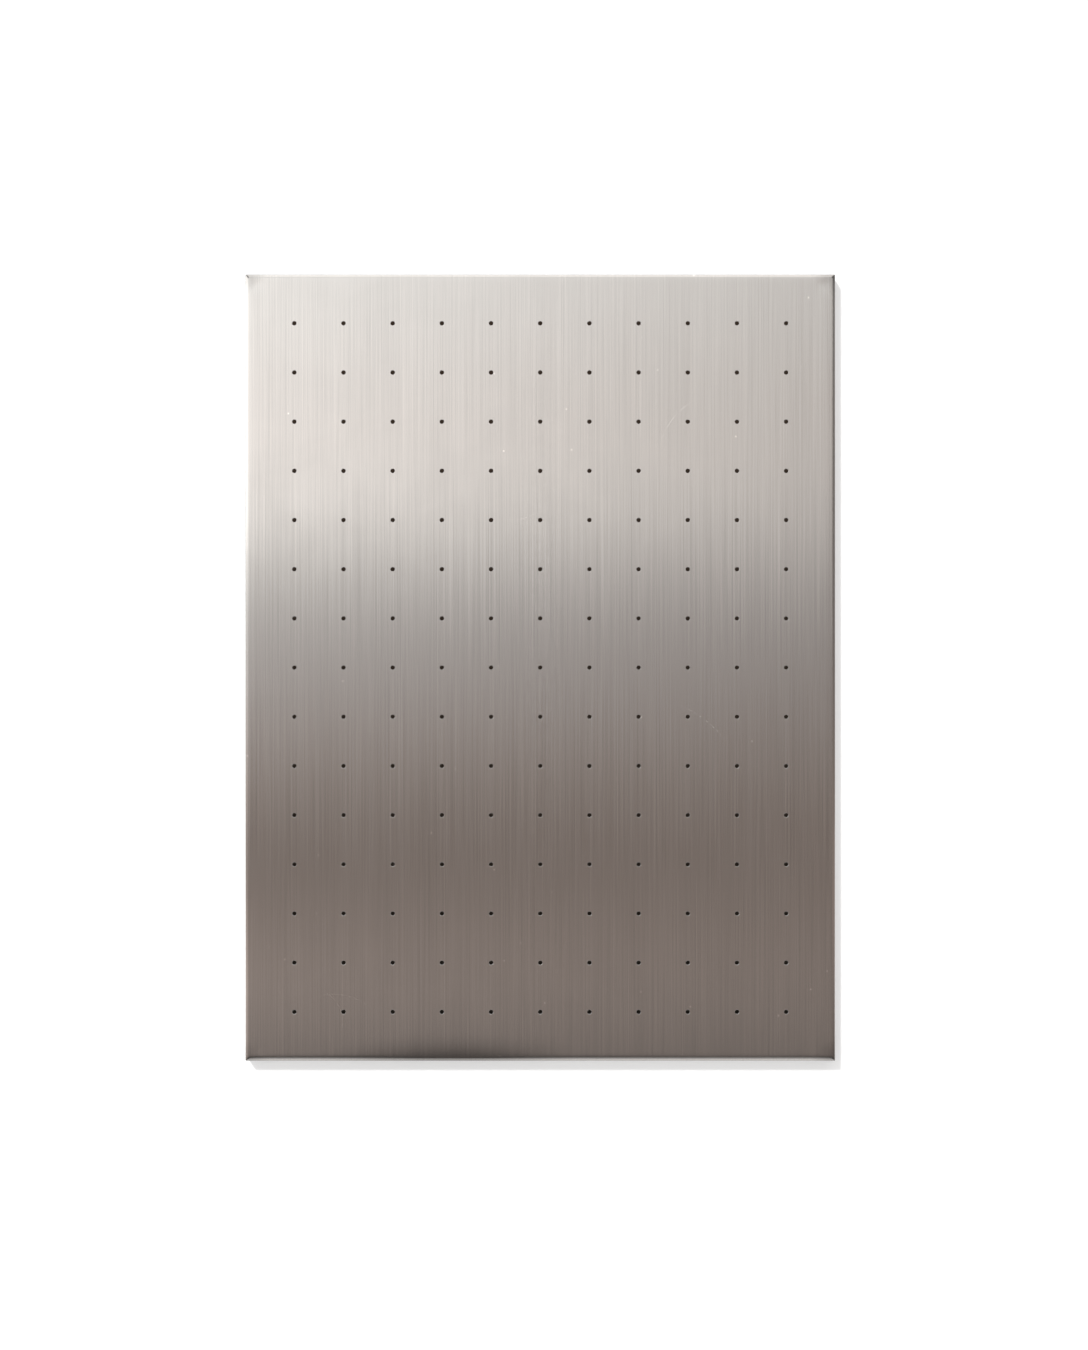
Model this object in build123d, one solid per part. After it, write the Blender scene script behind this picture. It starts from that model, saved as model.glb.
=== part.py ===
"""Wall-hung steel pegboard panel: a folded, perforated sheet on hidden stiffeners that hooks onto two wall rails.

Millimetres. +Z is up, the face looks along -Y and the wall is the plane Y = 0.
The origin is the middle of the top wall rail's back face.
"""

import os

from build123d import *

# ---- driving dimensions: the peg grid and the sheet
PITCH = 50.0
COLUMNS = 11
ROWS = 15
HOLE_DIAMETER = 4.5
SHEET = 1.2
DEPTH = 20.0
BEND = 3.0  # outside radius of every fold in the sheet
LIP = 18.0  # width of the return lips, from the outside of the panel
SEAM = 0.5  # open width of the mitred corner seams
RELIEF_RADIUS = 0.8
BUMPER_HEIGHT = 1.5  # how far the rubber bumpers hold the lips off the wall

# ---- driving dimensions: the hooked rails that carry it
RAIL = 2.0
RAIL_FOOT = 6.0  # flat of a rail below its middle
RAIL_BEND = 7.0  # height of the bend above the middle, on the strip's centre line
RAIL_BEND_RADIUS = 2.0
HOOK = 9.0  # length of the hook on the strip's centre line
HOOK_GAP = 0.1
RAIL_LENGTH = 556.0
CLEAT_LENGTH = 540.0
RAIL_SPACING = 650.0
CLEAT_FRONT = -9.0  # front face of the panel's cleats, which lie on the stiffeners' crowns
SLOT_SPACINGS = (400.0, 200.0)
SLOT_WIDTH = 5.5
SLOT_LENGTH = 16.0

# ---- driving dimensions: stiffeners, corner plates and fasteners
HAT = 1.0
HAT_CROWN = 20.0
HAT_WIDTH = 40.0
HAT_BEND_RADIUS = 1.3
HAT_X = 2.5 * PITCH
HAT_END_GAP = 8.0
STUD_HEIGHTS = (-350.0, -175.0, 0.0, 175.0, 350.0)  # from the panel's middle
STUD_OFFSET = 15.3  # either side of a stiffener's middle
STUD_DIAMETER = 4.0
STUD_LENGTH = 7.5
STUD_FOOT_DIAMETER = 5.5
STUD_FOOT = 0.6
STUD_CLEARANCE = 0.5
NUT_ACROSS_FLATS = 7.0
NUT_HEIGHT = 4.0
NUT_FLANGE_DIAMETER = 9.0
NUT_FLANGE = 1.0
CLEAT_RIVET_DIAMETER = 4.0
CLEAT_RIVET_HEAD = 1.6
CLEAT_RIVET_OFFSET = 4.8
GUSSET = 1.5
GUSSET_LEG = 52.0
GUSSET_INSET = 3.4
GUSSET_WIDTH = 13.6
GUSSET_CORNER = 2.0
GUSSET_RIVET_DIAMETER = 3.2
GUSSET_RIVET_HEAD = 1.0
GUSSET_RIVETS = (24.0, 42.0)  # from the panel's corner
BUMPER_DIAMETER = 12.0
BUMPER_FROM_CORNER = 68.0

# ---- worked out from them
WIDTH = (COLUMNS + 1) * PITCH
HEIGHT = (ROWS + 1) * PITCH
BACK = -BUMPER_HEIGHT
FRONT = BACK - DEPTH
FACE_BACK = FRONT + SHEET
LIP_FRONT = BACK - SHEET
SLANT = 0.5**0.5
HOOK_LINE = RAIL_BEND + RAIL / 2 * (2**0.5 - 1)  # where a hook's upper face would meet the wall
CLEAT_LIFT = 2 * HOOK_LINE + HOOK_GAP / SLANT - CLEAT_FRONT  # a cleat's middle above its wall rail's middle
MIDDLE = CLEAT_LIFT / 2 - RAIL_SPACING / 2
CUT = 1.0  # how far a cutting tool runs past what it cuts

SIDES = {"left": -1, "right": 1}
LEVELS = {"top": 1, "bottom": -1}
RAIL_BASES = {"top": 0.0, "bottom": -RAIL_SPACING}


def across(x):
    """A plane square to X at x; its own x and y are the panel's Y and Z."""
    return Plane(origin=(x, 0, 0), x_dir=(0, 1, 0), z_dir=(1, 0, 0))


def facing_wall(x, y, z):
    """A plane at a point with its normal towards the wall; its own x is the panel's X, its own y is -Z."""
    return Plane(origin=(x, y, z), x_dir=(1, 0, 0), z_dir=(0, 1, 0))


def disc(x, y, z, diameter, height):
    """A cylinder that stands on (x, y, z) and runs towards the wall."""
    return extrude(facing_wall(x, y, z) * Circle(diameter / 2), height)


def button(x, y, z, diameter, height, edge):
    """A low disc with a rounded rim on its wall side."""
    blank = disc(x, y, z, diameter, height)
    return fillet(blank.edges().sort_by(Axis.Y)[-1], edge)


def rivet(x, z, near, far, diameter, head_height):
    """A blind rivet through near..far in Y, with its head on the wall side and its set bulb on the other."""
    bulb_height = 0.7 * diameter
    head = button(x, far, z, 2 * diameter, head_height, 0.75 * head_height)
    bulb = disc(x, near - bulb_height, z, 1.4 * diameter, bulb_height)
    return head + bulb + disc(x, near, z, diameter, far - near)


def bent_strip(points, thickness, radius, start, end):
    """A strip of sheet whose centre line in (Y, Z) turns at each point with one radius, from start to end in X."""
    section = trace(FilletPolyline(*points, radius=radius), thickness)
    return extrude(across(start) * section, end - start)


# ---- the folded face sheet


def corner_room(half_run, reach):
    """The room one folded edge may take: a prism cut back at both ends on the 45 degree corner seams."""
    outer = half_run - SEAM / 2 / SLANT
    inner = outer - LIP - CUT
    low, high = reach - LIP - CUT, reach + CUT
    outline = Polygon((-inner, low), (inner, low), (outer + CUT, high), (-outer - CUT, high), align=None)
    return extrude(Plane.XZ.offset(-CUT) * outline, DEPTH + 3 * CUT)


def folded_edge(half_run, reach):
    """The upper folded edge of a panel centred on the origin: bend, side wall, bend and return lip."""
    mid = SHEET / 2
    centre_line = (
        (FRONT + mid, reach - BEND - CUT),
        (FRONT + mid, reach - mid),
        (BACK - mid, reach - mid),
        (BACK - mid, reach - LIP),
    )
    return bent_strip(centre_line, SHEET, BEND - mid, -half_run, half_run) & corner_room(half_run, reach)


def face_panel():
    """The whole folded and perforated sheet."""
    flat_x, flat_z = WIDTH - 2 * BEND, HEIGHT - 2 * BEND
    holes = [at * Circle(HOLE_DIAMETER / 2) for at in GridLocations(PITCH, PITCH, COLUMNS, ROWS)]
    sheet = extrude(Plane.XZ.offset(-FACE_BACK) * (Rectangle(flat_x, flat_z) - holes), SHEET)
    level_edge = folded_edge(WIDTH / 2, HEIGHT / 2)
    upright_edge = Rot(0, 90, 0) * folded_edge(HEIGHT / 2, WIDTH / 2)
    for edge in (level_edge, upright_edge):
        sheet = sheet + edge + Rot(0, 180, 0) * edge
    for x in (-flat_x / 2, flat_x / 2):
        for z in (-flat_z / 2, flat_z / 2):
            sheet -= disc(x, FRONT - CUT, z, 2 * RELIEF_RADIUS, BEND + CUT)
    return Pos(0, 0, MIDDLE) * sheet


# ---- the hooked rails: two on the wall, and the same section upside down on the panel


def rail(length):
    """A rail blank: a flat strip, then a hook that leans forward and up at 45 degrees."""
    mid = -RAIL / 2
    centre_line = (
        (mid, -RAIL_FOOT),
        (mid, RAIL_BEND),
        (mid - HOOK * SLANT, RAIL_BEND + HOOK * SLANT),
    )
    return bent_strip(centre_line, RAIL, RAIL_BEND_RADIUS, -length / 2, length / 2)


def wall_rail(base):
    """A wall rail with level slots for the wall screws."""
    blank = Pos(0, 0, base) * rail(RAIL_LENGTH)
    for spacing in SLOT_SPACINGS:
        for x in (-spacing / 2, spacing / 2):
            slot = facing_wall(x, -RAIL - CUT, base) * SlotOverall(SLOT_LENGTH, SLOT_WIDTH)
            blank -= extrude(slot, RAIL + 2 * CUT)
    return blank


def cleat_rivet_points(base):
    """Two rivets side by side in each stiffener's crown, on the middle of one cleat."""
    return [(x + step * CLEAT_RIVET_OFFSET, base + CLEAT_LIFT) for x in (-HAT_X, HAT_X) for step in (-1, 1)]


def panel_cleat(base):
    """The panel's own rail, turned over so that its hook drops in behind the wall rail's hook."""
    blank = Pos(0, CLEAT_FRONT, base + CLEAT_LIFT) * Rot(180, 0, 0) * rail(CLEAT_LENGTH)
    for x, z in cleat_rivet_points(base):
        blank -= disc(x, CLEAT_FRONT - CUT, z, CLEAT_RIVET_DIAMETER, RAIL + 2 * CUT)
    return blank


def cleat_rivets(base):
    """The four blind rivets that hold one cleat to both stiffeners."""
    near, far = CLEAT_FRONT - HAT, CLEAT_FRONT + RAIL
    return [
        rivet(x, z, near, far, CLEAT_RIVET_DIAMETER, CLEAT_RIVET_HEAD) for x, z in cleat_rivet_points(base)
    ]


# ---- the stiffeners, with the studs and nuts that hold them


def stud_points(x):
    """One stiffener's weld studs, in pairs through its two feet."""
    return [(x + step * STUD_OFFSET, MIDDLE + z) for z in STUD_HEIGHTS for step in (-1, 1)]


def stiffener(x):
    """A hat section behind the face, between two columns of holes, drilled for its studs and rivets."""
    foot, crown = FACE_BACK + HAT / 2, CLEAT_FRONT - HAT / 2
    edge, wall = HAT_WIDTH / 2, (HAT_CROWN - HAT) / 2
    centre_line = ((-edge, foot), (-wall, foot), (-wall, crown), (wall, crown), (wall, foot), (edge, foot))
    section = trace(FilletPolyline(*centre_line, radius=HAT_BEND_RADIUS), HAT)
    length = HEIGHT - 2 * HAT_END_GAP
    hat = Pos(x, 0, MIDDLE - length / 2) * extrude(section, length)
    for stud_x, stud_z in stud_points(x):
        hat -= disc(stud_x, FACE_BACK - CUT, stud_z, STUD_FOOT_DIAMETER + STUD_CLEARANCE, HAT + 2 * CUT)
    for base in RAIL_BASES.values():
        for rivet_x, rivet_z in cleat_rivet_points(base):
            if abs(rivet_x - x) < HAT_CROWN:
                hat -= disc(rivet_x, CLEAT_FRONT - 2 * CUT, rivet_z, CLEAT_RIVET_DIAMETER, 3 * CUT)
    return hat


def weld_stud(x, z):
    """A stud on the back of the face, its foot sunk in the stiffener's clearance hole."""
    foot = disc(x, FACE_BACK, z, STUD_FOOT_DIAMETER, STUD_FOOT)
    pin = disc(x, FACE_BACK, z, STUD_DIAMETER, STUD_LENGTH)
    return foot + chamfer(pin.edges().sort_by(Axis.Y)[-1], 0.5)


def flange_nut(x, z):
    """A hexagon nut with a round flange that clamps a stiffener's foot."""
    base = FACE_BACK + HAT
    hexagon = RegularPolygon(NUT_ACROSS_FLATS / 2, 6, major_radius=False)
    body = extrude(facing_wall(x, base, z) * hexagon, NUT_HEIGHT)
    flange = button(x, base, z, NUT_FLANGE_DIAMETER, NUT_FLANGE, 0.5)
    return body + flange - disc(x, base - CUT, z, STUD_DIAMETER, NUT_HEIGHT + 2 * CUT)


# ---- corner plates, their rivets and the wall bumpers


def place(side, level, from_side, from_level):
    """X and Z of a point given by its distances in from the panel's corner."""
    return side * (WIDTH / 2 - from_side), MIDDLE + level * (HEIGHT / 2 - from_level)


def gusset_rivet_points(side, level):
    """Two rivets in each leg of a corner plate."""
    inset = GUSSET_INSET + GUSSET_WIDTH / 2
    level_leg = [place(side, level, run, inset) for run in GUSSET_RIVETS]
    return level_leg + [place(side, level, inset, run) for run in GUSSET_RIVETS]


def corner_gusset(side, level):
    """A flat L plate in front of two return lips, which ties the open mitre of one corner."""
    near, far, leg = GUSSET_INSET, GUSSET_INSET + GUSSET_WIDTH, GUSSET_LEG
    steps = ((near, near), (leg, near), (leg, far), (far, far), (far, leg), (near, leg))
    outline = Polygon(*[place(side, level, *step) for step in steps], align=None)
    outline = fillet(outline.vertices(), GUSSET_CORNER)
    plate = extrude(Plane.XZ.offset(-LIP_FRONT) * outline, GUSSET, dir=(0, -1, 0))
    for x, z in gusset_rivet_points(side, level):
        plate -= disc(x, LIP_FRONT - GUSSET - CUT, z, GUSSET_RIVET_DIAMETER, GUSSET + 2 * CUT)
    return plate


def gusset_rivets(side, level):
    """The four small blind rivets of one corner."""
    near = LIP_FRONT - GUSSET
    return [
        rivet(x, z, near, BACK, GUSSET_RIVET_DIAMETER, GUSSET_RIVET_HEAD)
        for x, z in gusset_rivet_points(side, level)
    ]


def wall_bumper(side, level):
    """A rubber disc stuck on the back of a return lip, resting on the wall."""
    x, z = place(side, level, BUMPER_FROM_CORNER, LIP / 2)
    return button(x, BACK, z, BUMPER_DIAMETER, BUMPER_HEIGHT, 0.5)


# ---- every piece under its own name

sheet = face_panel()
nodes = {}
for level, base in RAIL_BASES.items():
    nodes[f"wall_rail_{level}"] = wall_rail(base)
    nodes[f"panel_cleat_{level}"] = panel_cleat(base)
    nodes[f"cleat_rivets_{level}"] = Compound(cleat_rivets(base))
for side, sign in SIDES.items():
    nodes[f"stiffener_{side}"] = stiffener(sign * HAT_X)
    nodes[f"weld_studs_{side}"] = Compound([weld_stud(x, z) for x, z in stud_points(sign * HAT_X)])
    nodes[f"stud_nuts_{side}"] = Compound([flange_nut(x, z) for x, z in stud_points(sign * HAT_X)])
    for level, way in LEVELS.items():
        nodes[f"corner_gusset_{level}_{side}"] = corner_gusset(sign, way)
        nodes[f"wall_bumper_{level}_{side}"] = wall_bumper(sign, way)
        for x, z in gusset_rivet_points(sign, way):
            sheet -= disc(x, LIP_FRONT - CUT, z, GUSSET_RIVET_DIAMETER, SHEET + 2 * CUT)
nodes["gusset_rivets"] = Compound(
    [one for sign in SIDES.values() for way in LEVELS.values() for one in gusset_rivets(sign, way)]
)
nodes["face_panel"] = sheet

os.makedirs("parts", exist_ok=True)
for name, shape in nodes.items():
    export_step(shape, f"parts/{name}.step")
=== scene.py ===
import math

import bmesh
import bpy
import numpy as np
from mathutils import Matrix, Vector


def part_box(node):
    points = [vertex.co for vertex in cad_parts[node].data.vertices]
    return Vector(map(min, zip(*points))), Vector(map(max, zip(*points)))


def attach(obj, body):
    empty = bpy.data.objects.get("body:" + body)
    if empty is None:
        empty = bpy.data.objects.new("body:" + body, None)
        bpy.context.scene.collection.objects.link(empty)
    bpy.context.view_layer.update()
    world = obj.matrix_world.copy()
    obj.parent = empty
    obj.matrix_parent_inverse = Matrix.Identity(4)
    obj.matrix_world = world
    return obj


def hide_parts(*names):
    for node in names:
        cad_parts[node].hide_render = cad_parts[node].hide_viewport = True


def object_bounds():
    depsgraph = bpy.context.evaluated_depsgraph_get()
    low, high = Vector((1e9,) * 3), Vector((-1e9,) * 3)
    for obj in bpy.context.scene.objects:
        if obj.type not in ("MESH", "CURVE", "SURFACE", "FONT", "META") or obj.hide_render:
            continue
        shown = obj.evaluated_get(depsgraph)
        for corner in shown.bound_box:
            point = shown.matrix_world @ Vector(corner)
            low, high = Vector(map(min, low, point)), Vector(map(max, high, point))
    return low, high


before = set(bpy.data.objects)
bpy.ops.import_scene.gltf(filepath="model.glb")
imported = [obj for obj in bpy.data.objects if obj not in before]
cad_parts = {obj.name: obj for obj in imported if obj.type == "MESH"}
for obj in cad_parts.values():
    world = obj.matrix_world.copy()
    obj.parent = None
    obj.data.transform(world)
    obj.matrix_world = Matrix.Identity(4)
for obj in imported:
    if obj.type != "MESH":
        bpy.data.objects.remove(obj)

cad_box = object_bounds()

# ---------------------------------------------------------------------------------------------------
# Folded sheet. One piece of 1.2 mm stainless steel, brushed lengthways, punched on a 50 mm grid and
# folded back on all four sides into a shallow tray with return lips. The corners are mitred and open,
# with a small relief hole where two folds meet, and the face has the slight waves of thin flat stock.

SHEET = 0.0012
BEND = 0.003  # outside radius of the folds
LIP = 0.018  # width of the return lip
SEAM = 0.0005  # gap of the open mitre
RELIEF = 0.0008  # radius of the hole where two folds meet
PITCH = 0.05
HOLE = 0.00225  # radius
ROLL = 0.00014  # radius that the punch leaves on a hole's front edge
SAME_POINT = 3e-6  # points closer than this are one

sheet_low, sheet_high = (np.array(corner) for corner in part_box("face_panel"))
sheet_middle = (sheet_low + sheet_high) / 2
half_width, _, half_height = (sheet_high - sheet_low) / 2
CROWN = 0.0002  # most that the face may stand in front of its folds
front, back = sheet_low[1] + CROWN, sheet_high[1]
columns = round(2 * half_width / PITCH) - 1
rows = round(2 * half_height / PITCH) - 1


def sheet_sway(x, z):
    """How far the flat face lies behind the start of its folds, always less than nothing.

    The folds pull the face back over their last few millimetres, so it stands in front of them by a crown.
    Slow sines lower the crown here and there, small bumps sit in the corners, and it dies away over a
    finger's width above the lower fold, left of the middle, where the sheet hangs a little slack.
    """
    to_side, to_end = half_width - BEND - np.abs(x), half_height - BEND - np.abs(z)
    u, v = x / half_width, z / half_height
    below = np.clip(half_height - BEND + z, 0, None)
    held_side = 1 - np.exp(-np.clip(to_side, 0, None) / 0.0025)
    held_end = 1 - np.exp(-np.clip(to_end, 0, None) / 0.0009)
    waves = 0.45 * np.sin(5.1 * u + 1.3 * v + 0.6) + 0.4 * np.sin(3.2 * v - 2.3 * u + 2.1)
    waves += 0.15 * np.sin(9.3 * v + 4.1 * u)
    slow = np.clip(1 - u**2, 0, 1) * np.clip(1 - v**2, 0, 1) * (0.00004 * waves - 0.00004)
    corner = np.hypot(to_side - 0.008, to_end - 0.007) / 0.006
    pucker = np.exp(-(corner**2)) * (0.6 + 0.4 * np.sin(3 * u + 5 * v))
    slack = np.exp(-below / 0.011) * np.exp(-(((x + 0.085) / 0.08) ** 2))
    crown = -0.00011 - 0.00008 * np.exp(-(((x + 0.085) / 0.1) ** 2)) * np.exp(-below / 0.05) + 0.00019 * slack
    return held_side * held_end * (crown + slow + 0.00011 * pucker)


def grid_faces(shape, wrap=False):
    """Corner indices of the quads over a (..., rows, columns) grid; wrap closes each row on itself."""
    index = np.arange(np.prod(shape)).reshape(shape)
    beside = np.roll(index, -1, axis=-1)
    if not wrap:
        index, beside = index[..., :-1], beside[..., :-1]
    quads = np.stack(
        [index[..., :-1, :], beside[..., :-1, :], beside[..., 1:, :], index[..., 1:, :]], axis=-1
    )
    return quads.reshape(-1, 4)


def add_patch(patches, x, y, z, u, v, wrap=False, hidden=0.0, faces=None):
    """Keeps a grid of points, each with its place on the flat blank; hidden is 1 on the back of the sheet."""
    shape = np.broadcast_shapes(*(np.shape(part) for part in (x, y, z, u, v)))
    x, y, z, u, v = (np.broadcast_to(part, shape) for part in (x, y, z, u, v))
    faces = grid_faces(shape, wrap) if faces is None else faces
    blank = np.stack([u, v], axis=-1).reshape(-1, 2)
    patches.append((np.stack([x, y, z], axis=-1).reshape(-1, 3), blank, faces, np.full(len(faces), hidden)))


def closed_mesh(name, patches, place=(0, 0, 0)):
    """One shell of all the patches, with shared points merged and faces outwards, moved to its place.

    The flat blank becomes the UV map, and hidden a face attribute.
    """
    points = np.concatenate([patch[0] for patch in patches]) + np.array(place)
    blanks = np.concatenate([patch[1] for patch in patches])
    offsets = np.cumsum([0] + [len(patch[0]) for patch in patches[:-1]])
    sizes = np.concatenate([np.full(len(patch[2]), patch[2].shape[1]) for patch in patches])
    loops = np.concatenate([(patch[2] + offset).ravel() for patch, offset in zip(patches, offsets)])
    mesh = bpy.data.meshes.new(name)
    mesh.vertices.add(len(points))
    mesh.vertices.foreach_set("co", points.astype(np.float32).ravel())
    mesh.loops.add(len(loops))
    mesh.loops.foreach_set("vertex_index", loops.astype(np.int32))
    mesh.polygons.add(len(sizes))
    mesh.polygons.foreach_set("loop_start", (np.cumsum(sizes) - sizes).astype(np.int32))
    mesh.update(calc_edges=True)
    mesh.uv_layers.new(name="blank").data.foreach_set("uv", blanks[loops].astype(np.float32).ravel())
    hidden = mesh.attributes.new("hidden", "FLOAT", "FACE")
    hidden.data.foreach_set("value", np.concatenate([patch[3] for patch in patches]).astype(np.float32))
    shell = bmesh.new()
    shell.from_mesh(mesh)
    bmesh.ops.remove_doubles(shell, verts=shell.verts, dist=SAME_POINT)
    bmesh.ops.recalc_face_normals(shell, faces=shell.faces)
    if shell.calc_volume(signed=True) < 0:
        bmesh.ops.reverse_faces(shell, faces=shell.faces)
    open_edges = sum(not edge.is_manifold for edge in shell.edges)
    print(
        name, len(shell.faces), "faces,", open_edges, "open edges,", round(shell.calc_volume() * 1e9), "mm3"
    )
    shell.to_mesh(mesh)
    shell.free()
    return mesh


sheet_patches = []

# Round each hole the face is a ring of quads that grows from the circle to the hole's own 50 mm square.
ring_points = 24
circle = np.radians(-45 + 360 / ring_points * np.arange(ring_points))
along = np.linspace(-1, 1, ring_points // 4 + 1)[:-1]
side_of_square = np.ones(len(along))
square = [
    (side_of_square, along), (-along, side_of_square), (-side_of_square, -along), (along, -side_of_square)
]
edge_of_square = PITCH / 2 * np.concatenate([np.stack(pair, 1) for pair in square])
roll = np.radians([0, 30, 60, 90])
rolled_radius = HOLE + ROLL * (1 - np.sin(roll))
burr_radius = [HOLE, HOLE + 0.0001, HOLE + 0.0003]
ring_radius = np.concatenate([[HOLE] * 4, [HOLE + 1.25 * ROLL], rolled_radius, burr_radius, [HOLE] * 4])
ring_reach = np.array([1, 0.5, 0.2, 0.06] + [0] * 8 + [0.06, 0.2, 0.5, 1])
ring_depth = np.concatenate([[0] * 5, ROLL * (1 - np.cos(roll)), [SHEET - 0.0001, SHEET], [SHEET] * 5])
ring_reach = ring_reach[:, None, None]
round_ring = ring_radius[:, None, None] * np.stack([np.cos(circle), np.sin(circle)], -1)
ring = round_ring * (1 - ring_reach) + ring_reach * edge_of_square
column_x = (np.arange(columns) - (columns - 1) / 2) * PITCH
row_z = (np.arange(rows) - (rows - 1) / 2) * PITCH
hole_x, hole_z = np.meshgrid(column_x, row_z)
cell_x = hole_x.reshape(-1, 1, 1) + ring[None, ..., 0]
cell_z = hole_z.reshape(-1, 1, 1) + ring[None, ..., 1]
cell_y = front + ring_depth[None, :, None] + sheet_sway(cell_x, cell_z)
for rings, hidden in ((slice(0, 10), 0.0), (slice(9, None), 1.0)):
    cell = [part[:, rings] for part in (cell_x, cell_y, cell_z, cell_x, cell_z)]
    add_patch(sheet_patches, *cell, wrap=True, hidden=hidden)

# Outside the hole squares the face runs on as a plain grid to the start of the folds.
flat_x, flat_z = half_width - BEND, half_height - BEND
margin = 0.022 - np.array([0.0165, 0.011, 0.0075, 0.005, 0.0033, 0.0021, 0.0012, 0.0005, 0.0])


def face_lines(count, flat):
    """Grid lines across the face: even through the holes' squares, closer towards the fold on both sides."""
    inner = np.linspace(-count * PITCH / 2, count * PITCH / 2, count * ring_points // 4 + 1)
    outer = flat - 0.022 + margin
    return np.concatenate([-outer[::-1], inner, outer])


lines_x, lines_z = face_lines(columns, flat_x), face_lines(rows, flat_z)
last = len(margin)
border = [
    (slice(0, last + 1), slice(2, -2)), (slice(-last - 1, None), slice(2, -2)),
    (slice(last, -last), slice(0, last + 1)), (slice(last, -last), slice(-last - 1, None)),
]  # fmt: skip
for take_z in (slice(0, 3), slice(-3, None)):
    border += [(slice(2, last + 1), take_z), (slice(-last - 1, -2), take_z)]
for depth in (0, SHEET):
    for take_x, take_z in border:
        x, z = np.meshgrid(lines_x[take_x], lines_z[take_z], indexing="ij")
        add_patch(sheet_patches, x, front + depth + sheet_sway(x, z), z, x, z, hidden=float(depth > 0))

# Each fold is a profile of bend, side wall, bend and lip, carried along the edge and cut back at 45 degrees.
turn = np.radians(np.linspace(0, 90, 9))
wall_steps = np.array([0.04, 0.5, 0.96])
wall_run = back - front - 2 * BEND
lip_run = LIP - BEND
lip_steps = np.array([0.03, 0.35, 0.68, 0.97, 1.0])


def fold_profile(inset, reach):
    """(distance behind the face, from the middle, and along the blank) at a depth inset inside the sheet."""
    radius = BEND - inset
    bend_in = np.stack([BEND - radius * np.cos(turn), reach - BEND + radius * np.sin(turn)], -1)
    wall = np.stack([BEND + wall_run * wall_steps, np.full(3, reach - inset)], -1)
    bend_out = np.stack([BEND + wall_run + radius * np.sin(turn), reach - BEND + radius * np.cos(turn)], -1)
    lip = np.stack([np.full(5, 2 * BEND + wall_run - inset), reach - BEND - lip_run * lip_steps], -1)
    arc = (BEND - SHEET / 2) * turn
    length = [
        arc,
        arc[-1] + wall_run * wall_steps,
        arc[-1] + wall_run + arc,
        2 * arc[-1] + wall_run + lip_run * lip_steps,
    ]
    return np.concatenate([bend_in, wall, bend_out, lip]), np.concatenate(length)


def add_fold(lines, half_run, reach, upright, side):
    """Adds both skins, the mitred ends and the free edge of one fold."""
    outer, length = fold_profile(0, reach)
    inner, _ = fold_profile(SHEET, reach)
    end = half_run - (reach - outer[:, 1]) - SEAM / 2 * 2**0.5
    bite = half_run - BEND - np.sqrt(np.clip(RELIEF**2 - length**2, 0, None))
    end = np.where(length < RELIEF, np.minimum(bite, end), end)
    run = lines[None, :] * np.ones((len(end), 1))
    run[:, 1:-1] *= np.where(length > RELIEF, end / (half_run - BEND), 1.0)[:, None]
    run[:, 0], run[:, -1] = -end, end
    run[:, 1], run[:, -2] = np.maximum(run[:, 1], -end + 0.0001), np.minimum(run[:, -2], end - 0.0001)
    blank = reach - BEND + length[:, None] + 0 * run

    def stand(depth, height, run, blank, hidden=0.0):
        depth, height = depth + 0 * run, side * (height + 0 * run)
        if upright:
            add_patch(sheet_patches, height, front + depth, run, side * blank, run, hidden=hidden)
        else:
            add_patch(sheet_patches, run, front + depth, height, run, side * blank, hidden=hidden)

    stand(outer[:, :1], outer[:, 1:], run, blank)
    stand(inner[:, :1], inner[:, 1:], run, blank, 1.0)
    both = np.stack([outer, inner], 1)
    for at in (0, -1):
        stand(both[..., 0], both[..., 1], run[:, [at, at]], blank[:, [at, at]])
    stand(both[-1, :, :1], both[-1, :, 1:], run[[-1, -1]], blank[[-1, -1]])


for side in (-1, 1):
    add_fold(lines_x, half_width, half_height, False, side)
    add_fold(lines_z, half_height, half_width, True, side)

# The last two cells of each corner are one face with a quarter circle bitten out of it, and its own
# wall. Its outline passes through every point of the grid and the folds that it meets.
bite_turn = np.radians(np.linspace(0, 90, 7))
for side in (-1, 1):
    for way in (-1, 1):
        arc_x = side * (flat_x - RELIEF * np.sin(bite_turn))
        arc_z = way * (flat_z - RELIEF * np.cos(bite_turn))
        depth = np.array([[0.0], [SHEET]])
        add_patch(sheet_patches, arc_x, front + depth + sheet_sway(arc_x, arc_z), arc_z, arc_x, arc_z)
        past_x, past_z = flat_x - RELIEF - 0.0001, flat_z - RELIEF - 0.0001
        rest_x = [past_x, lines_x[-3], lines_x[-3], lines_x[-3], lines_x[-2], flat_x, flat_x]
        rest_z = [flat_z, flat_z, lines_z[-2], lines_z[-3], lines_z[-3], lines_z[-3], past_z]
        loop_x = np.concatenate([arc_x, side * np.array(rest_x)])
        loop_z = np.concatenate([arc_z, way * np.array(rest_z)])
        for depth in (0, SHEET):
            points = np.stack([loop_x, front + depth + sheet_sway(loop_x, loop_z), loop_z], -1)
            face = np.arange(len(points))[None]
            sheet_patches.append((points, points[:, [0, 2]], face, np.array([float(depth > 0)])))


def new_piece(name, mesh, body, slot_name, *nodes, smooth_angle=35):
    """Puts a mesh in the scene as a piece of the object that rides on a body and stands for CAD nodes."""
    piece = bpy.data.objects.new(name, mesh)
    bpy.context.scene.collection.objects.link(piece)
    mesh.shade_smooth()
    mesh.set_sharp_from_angle(angle=math.radians(smooth_angle))
    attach(piece, body)
    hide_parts(*nodes)
    return piece


mesh = closed_mesh("face_sheet", sheet_patches, (sheet_middle[0], 0, sheet_middle[2]))
face_sheet = new_piece(mesh.name, mesh, "panel", "brushed_stainless", "face_panel")


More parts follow.
